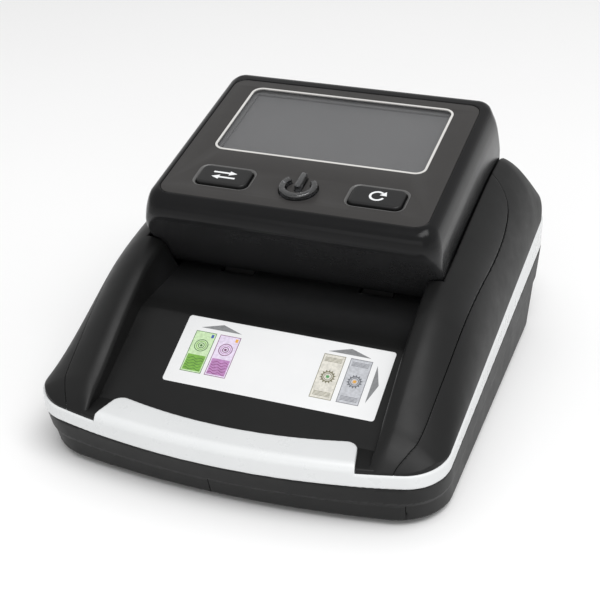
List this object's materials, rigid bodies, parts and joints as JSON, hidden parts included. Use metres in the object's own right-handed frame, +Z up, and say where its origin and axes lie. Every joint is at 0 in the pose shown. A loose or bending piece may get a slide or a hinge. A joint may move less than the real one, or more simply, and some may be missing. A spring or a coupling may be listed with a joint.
{
  "type": "banknote detector",
  "caption": "Wedge-shaped desktop banknote detector with a feed ramp, a note slot under a hinged display head with press keys, and a white trim band.",
  "frame": {"origin": "centre of the footprint, at the level the feet stand on", "axes": "+X to the user's right, +Y to the rear, +Z up"},
  "size_m": [0.15, 0.1868, 0.0986],
  "materials": {
    "head_black": "gloss moulded",
    "case_black": "satin moulded",
    "deck_black": "satin moulded",
    "trim_white": "gloss moulded",
    "plate_grey": "fine satin",
    "key_black": "satin",
    "power_dark": "clear dark",
    "frame_white": "printed line",
    "lens_clear": "clear acrylic",
    "lcd_grey": "unlit display",
    "label_white": "printed film",
    "rubber_black": "moulded",
    "steel": "ground",
    "sheet_steel": "zinc plated",
    "brass": "turned",
    "board_green": "solder mask",
    "window_clear": "clear acrylic",
    "pulley_white": "acetal",
    "battery_blue": "shrink wrap"
  },
  "bodies": {
    "base": {"motor_belt": "rubber_black", "shaft_belt": "rubber_black", "drive_motor": "sheet_steel", "side_plate_right": "sheet_steel", "side_plate_left": "sheet_steel", "shaft_bushes": "brass", "lower_window": "window_clear", "lower_sensor_board": "board_green", "main_board": "board_green", "board_screws": "steel", "buzzer": "key_black", "dc_inlet": "key_black", "update_port": "sheet_steel", "battery_pack": "battery_blue", "feed_deck": "deck_black", "tray_wall_right": "deck_black", "tray_wall_left": "deck_black", "side_cover_right": "case_black", "side_cover_left": "case_black", "white_trim": "trim_white", "bottom_case": "case_black", "rear_panel": "case_black", "rubber_feet": "rubber_black", "case_screws": "steel", "note_label": "label_white"},
    "head": {"head_shell": "head_black", "hinge_pins": "steel", "head_guide": "case_black", "head_screws": "steel", "upper_window": "window_clear", "upper_sensor_board": "board_green", "magnetic_heads": "sheet_steel", "face_plate": "plate_grey", "window_frame": "frame_white", "lcd_lens": "lens_clear", "lcd_module": "lcd_grey", "display_board": "board_green", "tact_switches": "sheet_steel", "pinch_springs": "steel"},
    "key_left": {"key_left": "key_black"},
    "key_right": {"key_right": "key_black"},
    "power_key": {"power_key": "power_dark"},
    "front_drive": {"front_drive_shaft": "steel", "front_drive_rollers": "rubber_black", "front_pulleys": "pulley_white"},
    "rear_drive": {"rear_drive_shaft": "steel", "rear_drive_rollers": "rubber_black", "rear_pulley": "pulley_white"},
    "motor_drive": {"motor_pulley": "pulley_white", "motor_shaft": "steel"},
    "front_pinch": {"front_pinch_shaft": "steel", "front_pinch_rollers": "rubber_black"},
    "rear_pinch": {"rear_pinch_shaft": "steel", "rear_pinch_rollers": "rubber_black"},
    "battery_door": {"battery_door": "case_black"}
  },
  "joints": [
    {"name": "head_hinge", "type": "hinge", "parent": "base", "child": "head", "pos_m": [0, 0.0624, 0.055], "axis": [-1, 0, 0], "range_deg": [0, 50]},
    {"name": "key_left_press", "type": "slide", "parent": "head", "child": "key_left", "axis": [0, 0.1899, -0.9818], "range_m": [0, 0.0008], "stiffness_N_per_m": 900},
    {"name": "key_right_press", "type": "slide", "parent": "head", "child": "key_right", "axis": [0, 0.1899, -0.9818], "range_m": [0, 0.0008], "stiffness_N_per_m": 900},
    {"name": "power_key_press", "type": "slide", "parent": "head", "child": "power_key", "axis": [0, 0.1899, -0.9818], "range_m": [0, 0.0008], "stiffness_N_per_m": 900},
    {"name": "front_drive_spin", "type": "hinge", "parent": "base", "child": "front_drive", "pos_m": [0, 0.0044, 0.0328], "axis": [1, 0, 0], "continuous": true},
    {"name": "rear_drive_spin", "type": "hinge", "parent": "base", "child": "rear_drive", "pos_m": [0, 0.0464, 0.0328], "axis": [1, 0, 0], "continuous": true},
    {"name": "motor_spin", "type": "hinge", "parent": "base", "child": "motor_drive", "pos_m": [0, -0.0256, 0.019], "axis": [1, 0, 0], "continuous": true},
    {"name": "front_pinch_spin", "type": "hinge", "parent": "head", "child": "front_pinch", "pos_m": [0, 0.0044, 0.0491], "axis": [1, 0, 0], "continuous": true},
    {"name": "rear_pinch_spin", "type": "hinge", "parent": "head", "child": "rear_pinch", "pos_m": [0, 0.0464, 0.0491], "axis": [1, 0, 0], "continuous": true},
    {"name": "battery_door_slide", "type": "slide", "parent": "base", "child": "battery_door", "axis": [0, -1, 0], "range_m": [0, 0.03]}
  ],
  "couplings": [
    {"joint": "rear_drive_spin", "follows": "front_drive_spin", "ratio": 1},
    {"joint": "motor_spin", "follows": "front_drive_spin", "ratio": 1.3493},
    {"joint": "front_pinch_spin", "follows": "front_drive_spin", "ratio": -2.2},
    {"joint": "rear_pinch_spin", "follows": "front_drive_spin", "ratio": -2.2}
  ]
}
